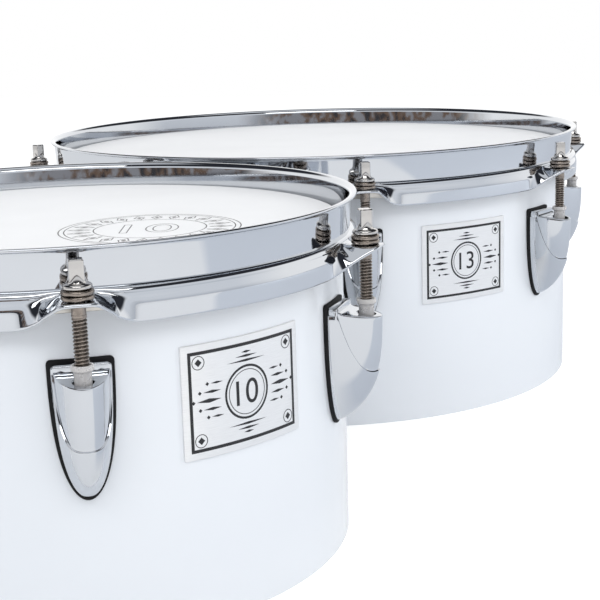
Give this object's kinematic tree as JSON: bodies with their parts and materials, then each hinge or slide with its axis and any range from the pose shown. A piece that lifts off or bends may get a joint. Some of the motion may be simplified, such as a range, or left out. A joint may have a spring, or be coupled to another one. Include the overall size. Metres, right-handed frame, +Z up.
{
  "type": "marching tenor drums",
  "caption": "Single-headed marching tenor drums, a smaller and a larger, bolted side by side, with chrome counter hoops, shield-shaped lugs and key-turned tension rods.",
  "frame": {"origin": "on the surface the drums stand on, under the middle of the whole pair's bounding box", "axes": "+Y from the axis of the small drum to the axis of the large drum, +Z up through the playing heads, +X towards the side where the badges lie"},
  "size_m": [0.3646, 0.6451, 0.155],
  "materials": {
    "shell": "plywood shell in high gloss white",
    "film": "smooth white coated plastic film",
    "chrome": "bright chrome plate",
    "nickel": "warm grey nickel plated steel",
    "aluminium": "satin",
    "rubber": "smooth black rubber",
    "badge": "satin plate with a printed border"
  },
  "bodies": {
    "drums": {"shell_10in": "shell", "head_10in": "film", "flesh_hoop_10in": "aluminium", "counter_hoop_10in": "chrome", "gasket_10in_1": "rubber", "lug_10in_1": "chrome", "gasket_10in_2": "rubber", "lug_10in_2": "chrome", "gasket_10in_3": "rubber", "lug_10in_3": "chrome", "gasket_10in_4": "rubber", "lug_10in_4": "chrome", "gasket_10in_5": "rubber", "lug_10in_5": "chrome", "gasket_10in_6": "rubber", "lug_10in_6": "chrome", "badge_10in": "badge", "inner_plate_10in": "aluminium", "joining_bolt_10in_1": "nickel", "joining_bolt_10in_2": "nickel", "shell_13in": "shell", "head_13in": "film", "flesh_hoop_13in": "aluminium", "counter_hoop_13in": "chrome", "gasket_13in_1": "rubber", "lug_13in_1": "chrome", "gasket_13in_2": "rubber", "lug_13in_2": "chrome", "gasket_13in_3": "rubber", "lug_13in_3": "chrome", "gasket_13in_4": "rubber", "lug_13in_4": "chrome", "gasket_13in_5": "rubber", "lug_13in_5": "chrome", "gasket_13in_6": "rubber", "lug_13in_6": "chrome", "gasket_13in_7": "rubber", "lug_13in_7": "chrome", "gasket_13in_8": "rubber", "lug_13in_8": "chrome", "badge_13in": "badge", "inner_plate_13in": "aluminium", "joining_bolt_13in_1": "nickel", "joining_bolt_13in_2": "nickel", "joining_block": "aluminium"},
    "tension_rod_10in_1": {"tension_rod_10in_1": "nickel"},
    "tension_rod_10in_2": {"tension_rod_10in_2": "nickel"},
    "tension_rod_10in_3": {"tension_rod_10in_3": "nickel"},
    "tension_rod_10in_4": {"tension_rod_10in_4": "nickel"},
    "tension_rod_10in_5": {"tension_rod_10in_5": "nickel"},
    "tension_rod_10in_6": {"tension_rod_10in_6": "nickel"},
    "tension_rod_13in_1": {"tension_rod_13in_1": "nickel"},
    "tension_rod_13in_2": {"tension_rod_13in_2": "nickel"},
    "tension_rod_13in_3": {"tension_rod_13in_3": "nickel"},
    "tension_rod_13in_4": {"tension_rod_13in_4": "nickel"},
    "tension_rod_13in_5": {"tension_rod_13in_5": "nickel"},
    "tension_rod_13in_6": {"tension_rod_13in_6": "nickel"},
    "tension_rod_13in_7": {"tension_rod_13in_7": "nickel"},
    "tension_rod_13in_8": {"tension_rod_13in_8": "nickel"}
  },
  "joints": [
    {"name": "tension_rod_10in_1_turn", "type": "hinge", "parent": "drums", "child": "tension_rod_10in_1", "pos_m": [0.07858, -0.3039, 0.15], "axis": [0, 0, 1], "continuous": true},
    {"name": "tension_rod_10in_2_turn", "type": "hinge", "parent": "drums", "child": "tension_rod_10in_2", "pos_m": [0.14172, -0.17671, 0.15], "axis": [0, 0, 1], "continuous": true},
    {"name": "tension_rod_10in_3_turn", "type": "hinge", "parent": "drums", "child": "tension_rod_10in_3", "pos_m": [0.06314, -0.05843, 0.15], "axis": [0, 0, 1], "continuous": true},
    {"name": "tension_rod_10in_4_turn", "type": "hinge", "parent": "drums", "child": "tension_rod_10in_4", "pos_m": [-0.07858, -0.06735, 0.15], "axis": [0, 0, 1], "continuous": true},
    {"name": "tension_rod_10in_5_turn", "type": "hinge", "parent": "drums", "child": "tension_rod_10in_5", "pos_m": [-0.14172, -0.19454, 0.15], "axis": [0, 0, 1], "continuous": true},
    {"name": "tension_rod_10in_6_turn", "type": "hinge", "parent": "drums", "child": "tension_rod_10in_6", "pos_m": [-0.06314, -0.31282, 0.15], "axis": [0, 0, 1], "continuous": true},
    {"name": "tension_rod_13in_1_turn", "type": "hinge", "parent": "drums", "child": "tension_rod_13in_1", "pos_m": [0.08841, -0.01629, 0.15], "axis": [0, 0, 1], "continuous": true},
    {"name": "tension_rod_13in_2_turn", "type": "hinge", "parent": "drums", "child": "tension_rod_13in_2", "pos_m": [0.17347, 0.09218, 0.15], "axis": [0, 0, 1], "continuous": true},
    {"name": "tension_rod_13in_3_turn", "type": "hinge", "parent": "drums", "child": "tension_rod_13in_3", "pos_m": [0.15691, 0.22903, 0.15], "axis": [0, 0, 1], "continuous": true},
    {"name": "tension_rod_13in_4_turn", "type": "hinge", "parent": "drums", "child": "tension_rod_13in_4", "pos_m": [0.04843, 0.31408, 0.15], "axis": [0, 0, 1], "continuous": true},
    {"name": "tension_rod_13in_5_turn", "type": "hinge", "parent": "drums", "child": "tension_rod_13in_5", "pos_m": [-0.08841, 0.29752, 0.15], "axis": [0, 0, 1], "continuous": true},
    {"name": "tension_rod_13in_6_turn", "type": "hinge", "parent": "drums", "child": "tension_rod_13in_6", "pos_m": [-0.17347, 0.18905, 0.15], "axis": [0, 0, 1], "continuous": true},
    {"name": "tension_rod_13in_7_turn", "type": "hinge", "parent": "drums", "child": "tension_rod_13in_7", "pos_m": [-0.15691, 0.05221, 0.15], "axis": [0, 0, 1], "continuous": true},
    {"name": "tension_rod_13in_8_turn", "type": "hinge", "parent": "drums", "child": "tension_rod_13in_8", "pos_m": [-0.04843, -0.03285, 0.15], "axis": [0, 0, 1], "continuous": true}
  ]
}
